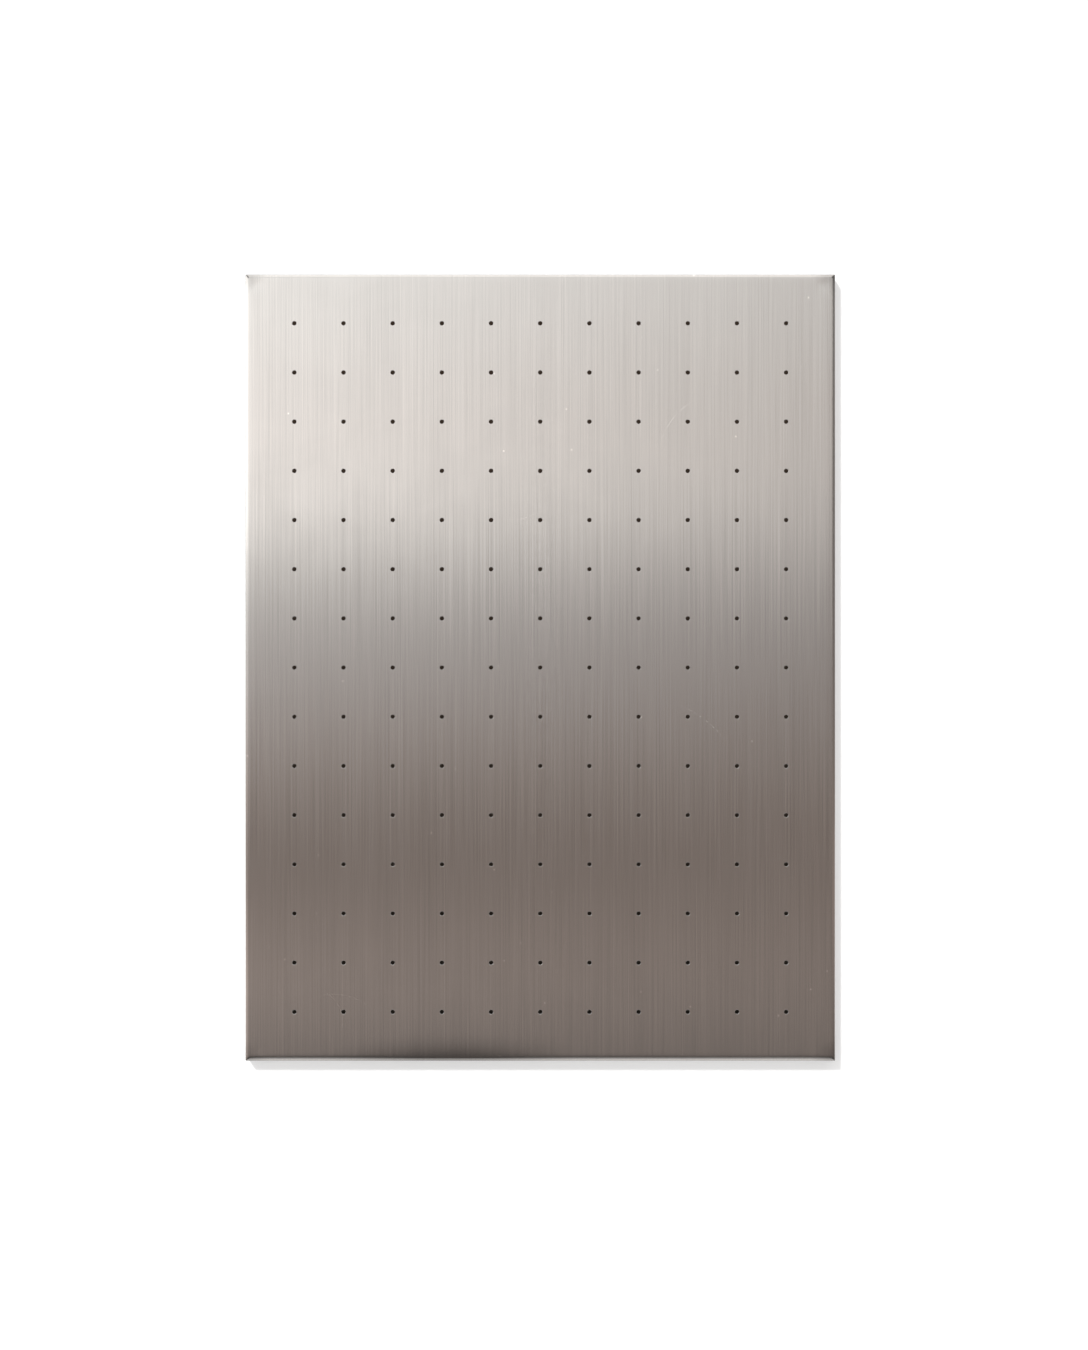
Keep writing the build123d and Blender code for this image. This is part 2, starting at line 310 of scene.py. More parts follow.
def add_node(tree, kind, inputs=None, **settings):
    """A node with its properties set and its inputs given values or joined to other nodes' outputs."""
    made = tree.nodes.new(kind)
    for name, value in settings.items():
        setattr(made, name, value)
    for key, value in (inputs or {}).items():
        if isinstance(value, bpy.types.NodeSocket):
            tree.links.new(value, made.inputs[key])
        else:
            made.inputs[key].default_value = value
    return made


def calc(tree, operation, *values, clamp=False):
    """One arithmetic step on values or sockets."""
    return add_node(
        tree, "ShaderNodeMath", dict(enumerate(values)), operation=operation, use_clamp=clamp
    ).outputs[0]


def on_vector(tree, operation, first, second=None, output=0, **inputs):
    """One arithmetic step on vectors; Scale is given by name."""
    inputs = {0: first, **({} if second is None else {1: second}), **inputs}
    return add_node(tree, "ShaderNodeVectorMath", inputs, operation=operation).outputs[output]


def swing(tree, value, share):
    """Share times how far a noise value stands above its middle, 0.5."""
    return calc(tree, "MULTIPLY", calc(tree, "SUBTRACT", value, 0.5), share)


def remap(tree, value, low, high, to_low=0.0, to_high=1.0):
    """Takes low..high onto to_low..to_high and stops at both ends."""
    return add_node(tree, "ShaderNodeMapRange", {0: value, 1: low, 2: high, 3: to_low, 4: to_high}).outputs[0]


def new_group(name, inputs, outputs):
    """An empty shader group with named float or vector inputs and named outputs, and its two end nodes."""
    group = bpy.data.node_groups.new(name, "ShaderNodeTree")
    for label, kind in inputs.items():
        group.interface.new_socket(label, in_out="INPUT", socket_type=kind)
    for label, kind in outputs.items():
        group.interface.new_socket(label, in_out="OUTPUT", socket_type=kind)
    return group, group.nodes.new("NodeGroupInput").outputs, group.nodes.new("NodeGroupOutput").inputs


def use_group(tree, group, inputs):
    """The outputs of a shader group that is placed in a material with its own values."""
    return add_node(tree, "ShaderNodeGroup", inputs, node_tree=group).outputs


NUMBER, VECTOR = "NodeSocketFloat", "NodeSocketVector"

# Strands of grain: noise that is squeezed across the strands and drawn out along them.
grain, given, give = new_group(
    "strands of grain", {
        "Place": VECTOR, "Width": NUMBER, "Length": NUMBER, "Seed": NUMBER
    }, {"Strand": NUMBER, "Fleck": NUMBER}
)
across = calc(grain, "DIVIDE", 1.0, given["Width"])
lengthways = calc(grain, "DIVIDE", 1.0, given["Length"])
squeeze = add_node(grain, "ShaderNodeCombineXYZ", {0: across, 1: lengthways, 2: 0.0}).outputs[0]
drawn = on_vector(grain, "MULTIPLY", given["Place"], squeeze)
shift = add_node(
    grain, "ShaderNodeCombineXYZ", {0: given["Seed"], 1: given["Seed"], 2: given["Seed"]}
).outputs[0]
moved = on_vector(grain, "ADD", drawn, shift)
strand = add_node(
    grain,
    "ShaderNodeTexNoise",
    {"Vector": moved, "Scale": 1.0, "Detail": 2.0, "Roughness": 0.6},
    noise_dimensions="2D",
)
fleck = add_node(
    grain,
    "ShaderNodeTexNoise",
    {"Vector": moved, "Scale": 3.7, "Detail": 1.0, "Roughness": 0.5},
    noise_dimensions="2D",
)
grain.links.new(strand.outputs[0], give["Strand"])
grain.links.new(fleck.outputs[0], give["Fleck"])

# Soft stains: broad cloudy patches, and a few sharp specks of dust or pits.
stains, given, give = new_group(
    "soft stains",
    {"Place": VECTOR, "Size": NUMBER, "Specks": NUMBER, "Share": NUMBER},
    {"Cloud": NUMBER, "Speck": NUMBER},
)
per_metre = calc(stains, "DIVIDE", 1.0, given["Size"])
cloud = add_node(
    stains,
    "ShaderNodeTexNoise",
    {"Vector": given["Place"], "Scale": per_metre, "Detail": 3.0, "Roughness": 0.55, "Distortion": 0.6},
)
spot = add_node(
    stains, "ShaderNodeTexVoronoi", {"Vector": given["Place"], "Scale": given["Specks"]}, feature="F1"
)
chance = add_node(stains, "ShaderNodeSeparateColor", {0: spot.outputs["Color"]}).outputs[0]
speck = calc(
    stains,
    "MULTIPLY",
    remap(stains, spot.outputs["Distance"], 0.02, 0.05, 1.0, 0.0),
    calc(stains, "LESS_THAN", chance, given["Share"]),
)
stains.links.new(cloud.outputs[0], give["Cloud"])
stains.links.new(speck, give["Speck"])

# Arc scratch: a thin broken line on part of a circle, left by something dragged across the sheet.
arc, given, give = new_group(
    "arc scratch",
    {
        "Place": VECTOR,
        "Centre": VECTOR,
        "Radius": NUMBER,
        "Width": NUMBER,
        "Reach": NUMBER,
        "Towards": VECTOR,
    },
    {"Scratch": NUMBER},
)
away = on_vector(arc, "SUBTRACT", given["Place"], given["Centre"])
distance = on_vector(arc, "LENGTH", away, output="Value")
off_line = calc(arc, "ABSOLUTE", calc(arc, "SUBTRACT", distance, given["Radius"]))
line = calc(arc, "SUBTRACT", 1.0, calc(arc, "DIVIDE", off_line, given["Width"]), clamp=True)
direction = on_vector(arc, "NORMALIZE", away)
facing = on_vector(arc, "DOT_PRODUCT", direction, given["Towards"], "Value")
part = remap(arc, facing, calc(arc, "SUBTRACT", 1.0, given["Reach"]), 1.0)
broken = add_node(
    arc, "ShaderNodeTexNoise", {"Vector": given["Place"], "Scale": 260.0, "Detail": 1.0}
).outputs[0]
scratch = calc(arc, "MULTIPLY", calc(arc, "MULTIPLY", line, part), remap(arc, broken, 0.4, 0.6))
arc.links.new(scratch, give["Scratch"])


def new_material(name, finish):
    """A material with a Principled BSDF whose own sockets hold finish."""
    made = bpy.data.materials.new(name)
    made.use_nodes = True
    tree = made.node_tree
    shader = tree.nodes["Principled BSDF"]
    for key, value in finish.items():
        shader.inputs[key].default_value = value
    return made, tree, shader


stainless, tree, shader = new_material("brushed_stainless", {"Metallic": 1.0, "Anisotropic": 1.0, "IOR": 1.5})
blank = add_node(tree, "ShaderNodeUVMap", uv_map="blank").outputs[0]
broad = use_group(tree, grain, {"Place": blank, "Width": 0.0014, "Length": 0.42, "Seed": 3.0})
fine = use_group(tree, grain, {"Place": blank, "Width": 0.0008, "Length": 0.2, "Seed": 11.0})
line = use_group(tree, grain, {"Place": blank, "Width": 0.0008, "Length": 0.8, "Seed": 31.0})
band = use_group(tree, grain, {"Place": blank, "Width": 0.021, "Length": 0.9, "Seed": 7.0})
marks = use_group(tree, stains, {"Place": blank, "Size": 0.06, "Specks": 42.0, "Share": 0.6})
scratches = 0.0
for centre, radius, reach, towards in (
    ((-0.235, -0.36, 0), 0.034, 0.5, (0.9, 0.44, 0)),
    ((-0.21, -0.39, 0), 0.058, 0.25, (0.2, 0.98, 0)),
    ((0.19, 0.21, 0), 0.07, 0.1, (-0.8, 0.6, 0)),
    ((-0.03, 0.2, 0), 0.05, 0.12, (0.3, -0.95, 0)),
    ((0.1, -0.14, 0), 0.11, 0.06, (0.6, 0.8, 0)),
):
    scratch = use_group(
        tree,
        arc,
        {
            "Place": blank,
            "Centre": centre,
            "Radius": radius,
            "Width": 0.0004,
            "Reach": reach,
            "Towards": towards,
        },
    )
    scratches = calc(tree, "ADD", scratches, scratch["Scratch"])

tone = swing(tree, broad["Strand"], 0.12)
for value, share in ((fine["Strand"], 0.27), (band["Strand"], 0.06), (marks["Cloud"], -0.08)):
    tone = calc(tree, "ADD", tone, swing(tree, value, share))
for value, share in (
    (remap(tree, line["Strand"], 0.64, 0.72), 0.07), (scratches, 0.3), (marks["Speck"], 0.42)
):
    tone = calc(tree, "ADD", tone, calc(tree, "MULTIPLY", value, share))
tone = calc(tree, "ADD", tone, 1.0)
across, along, _ = add_node(tree, "ShaderNodeSeparateXYZ", {0: blank}).outputs
# Painted shade: the tone is darkened in a patch just above the lower fold, left of the middle, standing in for
# a dark reflection there.
near_foot = remap(tree, along, 0.032 - half_height, 0.004 - half_height)
near_foot = calc(tree, "MULTIPLY", near_foot, near_foot)
off_painted_patch = calc(tree, "ABSOLUTE", calc(tree, "ADD", across, 0.095))
painted_shade_at_foot = calc(tree, "MULTIPLY", near_foot, remap(tree, off_painted_patch, 0.03, 0.13, 0.36, 0.0))
# Painted shade: the tone is darkened towards each corner of the face, with a cloudy edge, standing in for the
# darker reflection there.
from_side = calc(tree, "SUBTRACT", half_width, calc(tree, "ABSOLUTE", across))
from_end = calc(tree, "SUBTRACT", half_height, calc(tree, "ABSOLUTE", along))
from_corner = calc(tree, "ADD", from_side, from_end)
painted_corner_shade = remap(
    tree, calc(tree, "ADD", from_corner, calc(tree, "MULTIPLY", marks["Cloud"], 0.02)), 0.014, 0.036, 0.3, 0.0
)
tone = calc(tree, "MULTIPLY", tone, calc(tree, "SUBTRACT", 1.0, calc(tree, "MAXIMUM", painted_shade_at_foot, painted_corner_shade)))
hidden = add_node(tree, "ShaderNodeAttribute", attribute_name="hidden").outputs["Fac"]
steel = add_node(
    tree,
    "ShaderNodeMix",
    {0: hidden, 6: (0.655, 0.628, 0.602, 1), 7: (0.60, 0.60, 0.595, 1)},
    data_type="RGBA",
)
steel_colour = on_vector(tree, "SCALE", steel.outputs[2], Scale=tone)
tree.links.new(steel_colour, shader.inputs["Base Color"])
roughness = calc(tree, "ADD", 0.2, swing(tree, broad["Fleck"], 0.08))
roughness = calc(tree, "ADD", roughness, swing(tree, marks["Cloud"], 0.05))
for value, share in ((scratches, 0.1), (hidden, 0.07)):
    roughness = calc(tree, "ADD", roughness, calc(tree, "MULTIPLY", value, share))
tree.links.new(roughness, shader.inputs["Roughness"])
ridge = calc(tree, "ADD", fine["Strand"], calc(tree, "MULTIPLY", broad["Strand"], 0.6))
bump = add_node(tree, "ShaderNodeBump", {"Strength": 0.35, "Distance": 0.00001, "Height": ridge}).outputs[0]
lean = use_group(tree, grain, {"Place": blank, "Width": 0.005, "Length": 0.5, "Seed": 23.0})["Strand"]
lean = calc(tree, "ADD", swing(tree, lean, 0.0065), swing(tree, broad["Strand"], 0.009))
lean = add_node(tree, "ShaderNodeCombineXYZ", {2: lean}).outputs[0]
leaning = on_vector(tree, "ADD", bump, lean)
leaning = on_vector(tree, "NORMALIZE", leaning)
tree.links.new(leaning, shader.inputs["Normal"])
tree.links.new(
    add_node(tree, "ShaderNodeTangent", direction_type="UV_MAP", uv_map="blank").outputs[0],
    shader.inputs["Tangent"],
)
face_sheet.data.materials.append(stainless)


# ---------------------------------------------------------------------------------------------------
# Stiffeners. Two hat sections of 1 mm galvanised steel stand behind the face between columns of holes,
# punched for the studs in their feet and for the cleats' rivets in their crowns, then folded.

HAT = 0.001
HAT_CROWN = 0.02
HAT_BEND = 0.0013
STUD_OFFSET = 0.0153
STUD_HOLE = 0.003
STUD_SPACING = 0.175
RIVET_OFFSET = 0.0048
RIVET_HOLE = 0.002
STUD_ROOM = 0.0042  # half of the square of sheet that is worked round a hole
RIVET_ROOM = 0.0033
EDGE = 0.00015  # how far a sheared edge is rounded over


def bent_line(points, radius):
    """A strip's centre line: straight runs between points, joined by a round of one radius at each.

    Gives where its runs start and end, and a function from distance along it to the place and the
    direction there. On a round the place is a chord away from the round's start: distance times sinc of
    half the turn, along half the turn.
    """
    points = np.array(points)
    steps = np.diff(points, axis=0)
    headings = np.unwrap(np.arctan2(steps[:, 1], steps[:, 0]))
    turns = np.append(np.diff(headings), 0.0)
    cut = radius * np.tan(np.abs(turns) / 2)
    straights = np.hypot(*steps.T) - cut - np.append(0.0, cut[:-1])
    spans = np.stack([straights, radius * np.abs(turns)], 1).ravel()
    bends = np.stack([0 * turns, np.sign(turns) / radius], 1).ravel()
    starts = np.concatenate([[0.0], np.cumsum(spans)])
    begin = np.concatenate([[headings[0]], headings[0] + np.cumsum(spans * bends)])
    middle = begin[:-1] + spans * bends / 2
    chord = spans * np.sinc(spans * bends / (2 * np.pi))
    moves = chord[:, None] * np.stack([np.cos(middle), np.sin(middle)], 1)
    corners = points[0] + np.concatenate([[[0.0, 0.0]], np.cumsum(moves, axis=0)])

    def at(distance):
        span = np.clip(np.searchsorted(starts, distance, side="right") - 1, 0, len(spans) - 2)
        run = distance - starts[span]
        half_turn = run * bends[span] / 2
        chord = run * np.sinc(half_turn / np.pi)
        ahead = begin[span] + half_turn
        place = corners[span] + chord[..., None] * np.stack([np.cos(ahead), np.sin(ahead)], -1)
        return place, ahead + half_turn

    return starts, at


def spaced(breaks, step):
    """Sorted breaks with even lines between them, no further apart than step."""
    breaks = np.unique(np.round(breaks, 7))
    parts = [
        np.linspace(low, high, int(np.ceil((high - low) / step - 1e-6)) + 1)[:-1]
        for low, high in zip(breaks, breaks[1:])
    ]
    return np.concatenate([*parts, breaks[-1:]])


def punched_strip(points, radius, thickness, start, end, holes, lay):
    """Patches of a bent strip with round or slotted holes (run, along, slot, radius, room).

    The strip is worked out as a flat blank: two skins, a rounded edge round the outline and one in each
    hole. The skin round a hole is a square ring of the grid drawn in to the nearest point of the slot's
    outline. Then every point is carried to the bent line, its depth in the sheet measured square to it.
    """
    starts, at = bent_line(points, radius)
    run_end = starts[-1]
    guard = 0.0004
    run_breaks = [EDGE, guard, run_end - guard, run_end - EDGE, *starts[1:-2]]
    along_breaks = [start + EDGE, start + guard, end - guard, end - EDGE]
    blocks = [
        (run - room, run + room, along - room - slot, along + room + slot)
        for run, along, slot, _, room in holes
    ]
    for block in blocks:
        run_breaks += [*np.linspace(block[0], block[1], 9)]
        along_breaks += [*np.linspace(block[2], block[3], 9 if block[3] - block[2] < 0.012 else 13)]
    bends = [np.linspace(low, high, 9) for low, high in zip(starts[1:-2:2], starts[2:-1:2])]
    run_lines = spaced(np.concatenate([run_breaks, *bends]), 0.005)
    along_lines = spaced(along_breaks, 0.02)
    run, along = np.meshgrid(run_lines, along_lines, indexing="ij")
    keep = np.ones((len(run_lines) - 1, len(along_lines) - 1), bool)
    over = np.radians(np.linspace(0, 90, 4))
    out = EDGE * np.concatenate([np.sin(over), np.sin(over[::-1])])
    down = np.concatenate([EDGE * (1 - np.cos(over)), thickness - EDGE * (1 - np.cos(over[::-1]))])
    patches = []

    def carry(run, along, depth, wrap=False, faces=None):
        run, along, depth = np.broadcast_arrays(run, along, depth)
        place, heading = at(run)
        off = depth - thickness / 2
        a, b = place[..., 0] - off * np.sin(heading), place[..., 1] + off * np.cos(heading)
        add_patch(patches, *lay(a, b, along), run, along, wrap, faces=faces)

    def outline(grid, rows, columns):
        """The points round a block of the grid, once round."""
        block = grid[rows[0] : rows[1] + 1, columns[0] : columns[1] + 1]
        return np.concatenate([block[:-1, 0], block[-1, :-1], block[:0:-1, -1], block[0, :0:-1]])

    for (run_low, run_high, along_low, along_high), (
        hole_run, hole_along, slot, hole_radius, _
    ) in zip(blocks, holes):
        rows = np.searchsorted(run_lines, np.array([run_low, run_high]) - 1e-5)
        columns = np.searchsorted(along_lines, np.array([along_low, along_high]) - 1e-5)
        keep[rows[0] : rows[1], columns[0] : columns[1]] = False
        edge_run, edge_along = outline(run, rows, columns), outline(along, rows, columns)
        spine = hole_along + np.clip(edge_along - hole_along, -slot, slot)
        away = np.hypot(edge_run - hole_run, edge_along - spine)
        to_run, to_along = (edge_run - hole_run) / away, (edge_along - spine) / away
        reach = np.array([0.0, 0.6, 1.0])[:, None]
        ring_radius = away * (1 - reach) + reach * (hole_radius + guard)
        ring_radius = np.concatenate([ring_radius, np.full((1, len(away)), hole_radius + EDGE)])
        ring_run, ring_along = hole_run + ring_radius * to_run, spine + ring_radius * to_along
        carry(ring_run, ring_along, 0.0, wrap=True)
        carry(ring_run, ring_along, thickness, wrap=True)
        wall_radius = (hole_radius + EDGE - out)[:, None]
        carry(hole_run + wall_radius * to_run, spine + wall_radius * to_along, down[:, None], wrap=True)
    faces = grid_faces(run.shape).reshape(*keep.shape, 4)[keep]
    carry(run, along, 0.0, faces=faces)
    carry(run, along, thickness, faces=faces)
    rim_run = outline(run, (0, len(run_lines) - 1), (0, len(along_lines) - 1))
    rim_along = outline(along, (0, len(run_lines) - 1), (0, len(along_lines) - 1))
    out_run = 1.0 * (rim_run > run_end - 1.5 * EDGE) - (rim_run < 1.5 * EDGE)
    out_along = 1.0 * (rim_along > end - 1.5 * EDGE) - (rim_along < start + 1.5 * EDGE)
    carry(rim_run + out[:, None] * out_run, rim_along + out[:, None] * out_along, down[:, None], wrap=True)
    return patches


stiffeners = []
for side in ("left", "right"):
    low, high = (np.array(corner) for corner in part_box(f"stiffener_{side}"))
    middle_x, middle_level = (low[0] + high[0]) / 2, (low[2] + high[2]) / 2
    foot, crown = low[1] + HAT / 2, high[1] - HAT / 2
    edge, wall = (high[0] - low[0]) / 2, (HAT_CROWN - HAT) / 2
    points = [(-edge, foot), (-wall, foot), (-wall, crown), (wall, crown), (wall, foot), (edge, foot)]
    length = bent_line(points, HAT_BEND)[0][-1]
    holes = []
    for level in np.arange(-2, 3) * STUD_SPACING:
        holes += [
            (run, level, 0.0, STUD_HOLE, STUD_ROOM)
            for run in (edge - STUD_OFFSET, length - edge + STUD_OFFSET)
        ]
    for level in ("top", "bottom"):
        cleat_low, cleat_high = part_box(f"cleat_rivets_{level}")
        rivet_level = (cleat_low[2] + cleat_high[2]) / 2 - middle_level
        holes += [
            (length / 2 + step * RIVET_OFFSET, rivet_level, 0.0, RIVET_HOLE, RIVET_ROOM) for step in (-1, 1)
        ]
    patches = punched_strip(
        points, HAT_BEND, HAT, low[2] - middle_level, high[2] - middle_level, holes,
        lambda a, b, along, x=middle_x, z=middle_level: (x + a, b, z + along),
    )  # fmt: skip
    name = f"hat_stiffener_{side}"
    stiffeners.append(
        new_piece(name, closed_mesh(name, patches), "panel", "galvanised_steel", f"stiffener_{side}")
    )


# ---------------------------------------------------------------------------------------------------
# Weld studs and nuts. Ten copper-flashed M4 studs a stiffener are shot onto the back of the face, in
# pairs through its feet, and zinc-plated flange nuts, each tightened to its own angle, hold it down.

STUD = 0.002
STUD_FOOT = 0.00275
STUD_FOOT_HEIGHT = 0.0006
THREAD_PITCH = 0.0007
THREAD_DEPTH = 0.0004
NUT_FLAT = 0.0035
NUT_FLANGE = 0.0045
NUT_HEIGHT = 0.004
GOLDEN = 2.39996


def add_turned(patches, centres, start, radius, depth, turn):
    """Pieces round axes square to the face, one at each centre (x, z): radius and depth over (rows, turn).

    A point lies at its centre plus radius times (cosine, sine) of its turn, and at start plus depth. Each
    piece is spun a golden angle from the one before, so that no two stand alike.
    """
    radius, depth = np.broadcast_arrays(radius, depth)
    spin = turn + GOLDEN * np.arange(len(centres))[:, None, None]
    x = centres[:, 0, None, None] + radius * np.cos(spin)
    z = centres[:, 1, None, None] + radius * np.sin(spin)
    steps = np.hypot(np.diff(radius[:, 0]), np.diff(depth[:, 0]))
    length = np.concatenate([[0.0], np.cumsum(steps)])[:, None]
    add_patch(patches, x, start + depth, z, turn * radius.max(), length, wrap=True)


def threaded_stud(turn):
    """A stud's (radius, depth): a weld collar, a thread whose ridge climbs one pitch a turn, and a chamfer."""
    rise = np.linspace(STUD_FOOT_HEIGHT, stud_length - 0.00002, 78)[:, None]
    phase = (rise / THREAD_PITCH - turn / (2 * np.pi)) % 1
    groove = np.clip(1.25 - 2.5 * np.abs(phase - 0.5), 0, 1)
    ridge = np.minimum(STUD - THREAD_DEPTH * groove, STUD - 0.0006 + (stud_length - rise))
    collar_radius = np.array([0, 0.93, 1, 1, 0.94, 0.78])[:, None] * STUD_FOOT * (
        1 + 0.012 * np.sin(5 * turn)
    )
    collar_depth = np.array([0, 0, 0.15, 0.7, 1, 1])[:, None] * STUD_FOOT_HEIGHT
    radius = np.concatenate([collar_radius, ridge, ridge[-1:], 0 * ridge[-1:]])
    depth = np.concatenate([collar_depth, rise, [[stud_length]], [[stud_length]]])
    return radius, depth


def flange_nut(turn):
    """A nut's (radius, depth): the larger of a sloping flange and a hexagon, whose corners a cone takes off.

    The hexagon's radius is half its width over the cosine of the turn from the middle of its nearest side.
    """
    side = (turn + np.pi / 6) % (np.pi / 3) - np.pi / 6
    hexagon = np.minimum(NUT_FLAT / np.cos(side), 1.14 * NUT_FLAT)
    flange_rise = np.array([0, 0.03, 0.09, 0.14, 0.2, 0.25])[:, None] * NUT_HEIGHT
    flange = np.array([0.97, 1, 1, 0.985, 0.91, 0.86])[:, None] * NUT_FLANGE
    rise = np.array([0.255, 0.28, 0.5, 0.8, 0.86, 0.9, 0.94, 0.98, 1])[:, None] * NUT_HEIGHT
    cone = 0.94 * NUT_FLAT + 1.7 * (NUT_HEIGHT - rise)
    bore_radius = np.array([0.93 * NUT_FLAT, 0.0024, 0.0023, STUD + 0.00002, STUD + 0.00002, 0.0023])[:, None]
    bore_rise = np.array([1, 1, 0.99, 0.92, 0.08, 0])[:, None] * NUT_HEIGHT
    full = np.ones_like(turn)
    outer = [np.maximum(flange, hexagon), np.minimum(hexagon, cone), bore_radius * full, flange[:1] * full]
    return np.concatenate(outer), np.concatenate([flange_rise, rise, bore_rise, flange_rise[:1]])


def around(points):
    """Evenly spaced angles once round, leaving out the last, which is the first."""
    return 2 * np.pi / points * np.arange(points)


stud_pieces, nut_pieces = [], []
for side in ("left", "right"):
    low, high = (np.array(corner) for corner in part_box(f"weld_studs_{side}"))
    stud_length = high[1] - low[1]
    middle_x, middle_level = (low[0] + high[0]) / 2, (low[2] + high[2]) / 2
    levels = middle_level + np.arange(-2, 3) * STUD_SPACING
    centres = np.array([(middle_x + step * STUD_OFFSET, level) for level in levels for step in (-1, 1)])
    patches = []
    add_turned(patches, centres, low[1], *threaded_stud(around(24)), around(24))
    mesh = closed_mesh(f"threaded_studs_{side}", patches)
    stud_pieces.append(new_piece(mesh.name, mesh, "panel", "copper_flash", f"weld_studs_{side}"))
    patches = []
    add_turned(patches, centres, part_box(f"stud_nuts_{side}")[0][1], *flange_nut(around(48)), around(48))
    mesh = closed_mesh(f"flange_nuts_{side}", patches)
    nut_pieces.append(new_piece(mesh.name, mesh, "panel", "zinc_plate", f"stud_nuts_{side}", smooth_angle=25))


# ---------------------------------------------------------------------------------------------------
# Cleats. The panel's own two rails: the wall rails' section turned over, so that the hooks drop in
# behind each other, blind-riveted through both stiffeners' crowns with domed aluminium rivets.

RAIL = 0.002
RAIL_FOOT = 0.006
RAIL_BEND = 0.007
RAIL_ROUND = 0.002
HOOK = 0.009
SLANT = 0.5**0.5
CLEAT_RIVET = 0.004


def hooked_line(flat_y, foot_z, hook_y, hook_z):
    """A rail's centre line in (y, z): a flat from its foot to the bend, then the hook at 45 degrees."""
    bend_z = foot_z + hook_z * (RAIL_FOOT + RAIL_BEND)
    return [
        (flat_y, foot_z), (flat_y, bend_z), (flat_y + hook_y * HOOK * SLANT, bend_z + hook_z * HOOK * SLANT)
    ]


def blind_rivet(diameter, grip, head):
    """A set rivet's (radius, depth), from the end of its bulb to the dimple that its broken mandrel leaves."""
    bulb_radius = np.array([0, 0.2, 0.24, 0.26, 0.4, 0.6, 0.69, 0.7, 0.66, 0.58, 0.5]) * diameter
    bulb_depth = np.array([0.04, 0.04, 0.02, 0.1, 0.03, 0.1, 0.22, 0.36, 0.5, 0.62, 0.7]) * diameter
    dome = np.radians(np.linspace(0, 68, 9))
    seat = 0.7 * diameter + grip
    head_radius = np.concatenate([[0.5, 0.96], np.cos(dome), [0.33, 0.31, 0.3, 0.24, 0.1, 0]]) * diameter
    head_rise = np.concatenate(
        [[0, 0], 0.22 + 0.78 * np.sin(dome), [0.93, 0.86, 0.6, 0.58, 0.64, 0.66]]
    ) * head
    radius, depth = np.concatenate([bulb_radius, head_radius]), np.concatenate([bulb_depth, seat + head_rise])
    return radius[:, None] * np.ones(32), depth[:, None] * np.ones(32)


cleats, rivet_pieces = [], []
for level in ("top", "bottom"):
    low, high = (np.array(corner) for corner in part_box(f"panel_cleat_{level}"))
    line = hooked_line(low[1] + RAIL / 2, high[2], 1, -1)
    rivets_low, rivets_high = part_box(f"cleat_rivets_{level}")
    rivet_columns = [side * 2.5 * PITCH + step * RIVET_OFFSET for side in (-1, 1) for step in (-1, 1)]
    holes = [(RAIL_FOOT, x, 0.0, RIVET_HOLE, RIVET_ROOM) for x in rivet_columns]
    patches = punched_strip(line, RAIL_ROUND, RAIL, low[0], high[0], holes, lambda a, b, along: (along, a, b))
    mesh = closed_mesh(f"hooked_cleat_{level}", patches)
    cleats.append(new_piece(mesh.name, mesh, "panel", "galvanised_steel", f"panel_cleat_{level}"))
    centres = np.array([(x, (rivets_low[2] + rivets_high[2]) / 2) for x in rivet_columns])
    patches = []
    add_turned(patches, centres, rivets_low[1], *blind_rivet(CLEAT_RIVET, HAT + RAIL, 0.0016), around(32))
    mesh = closed_mesh(f"domed_rivets_{level}", patches)
    rivet_pieces.append(new_piece(mesh.name, mesh, "panel", "aluminium_rivet", f"cleat_rivets_{level}"))


# ---------------------------------------------------------------------------------------------------
# Corner plates and bumpers. A galvanised L plate ties each open mitre from inside with four small
# blind rivets, and a moulded rubber disc on each lip end keeps the panel off the wall.

GUSSET = 0.0015
GUSSET_RIVET = 0.0032
GUSSET_INSET = 0.0102
GUSSET_STEPS = (0.024, 0.042)
BUMPER = 0.006
BUMPER_HEIGHT = 0.0015

corner_spots = [
    (GUSSET_INSET, step) for step in GUSSET_STEPS
] + [(step, GUSSET_INSET) for step in GUSSET_STEPS]
centres = np.array(
    [
        (sheet_middle[0] + side * (half_width - x), sheet_middle[2] + way * (half_height - z))
        for side in (-1, 1) for way in (-1, 1) for x, z in corner_spots
    ]
)  # fmt: skip
patches = []
rivets_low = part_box("gusset_rivets")[0][1]
add_turned(patches, centres, rivets_low, *blind_rivet(GUSSET_RIVET, SHEET + GUSSET, 0.001), around(32))
mesh = closed_mesh("corner_rivets", patches)
rivet_pieces.append(new_piece(mesh.name, mesh, "panel", "aluminium_rivet", "gusset_rivets"))

bumpers = []
for level in ("top", "bottom"):
    for side in ("left", "right"):
        low, high = (np.array(corner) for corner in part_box(f"wall_bumper_{level}_{side}"))
        rim = np.radians(np.linspace(0, 90, 6))
        dish = [0.8, 0.6, 0.3, 0.12, 0.1, 0.06, 0]
        radius = np.concatenate([[0, 0.98, 1], 0.92 + 0.07 * np.cos(rim), dish]) * BUMPER
        rise = np.concatenate(
            [[0, 0, 0.06], 0.68 + 0.32 * np.sin(rim), [0.97, 0.93, 0.9, 0.89, 0.94, 0.95, 0.95]]
        )
        patches = []
        centre = np.array([((low[0] + high[0]) / 2, (low[2] + high[2]) / 2)])
        radius, rise = radius[:, None] * np.ones(40), rise[:, None] * BUMPER_HEIGHT
        add_turned(patches, centre, low[1], radius, rise, around(40))
        mesh = closed_mesh(f"rubber_bumper_{level}_{side}", patches)
        bumpers.append(new_piece(mesh.name, mesh, "panel", "grey_rubber", f"wall_bumper_{level}_{side}"))


# ---------------------------------------------------------------------------------------------------
# Wall rails. Two galvanised strips, folded into a hook along the top and slotted for the wall screws,
# which carry the whole panel.

SLOT_HALF = 0.00525
SLOT_RADIUS = 0.00275
SLOT_ROOM = 0.0042

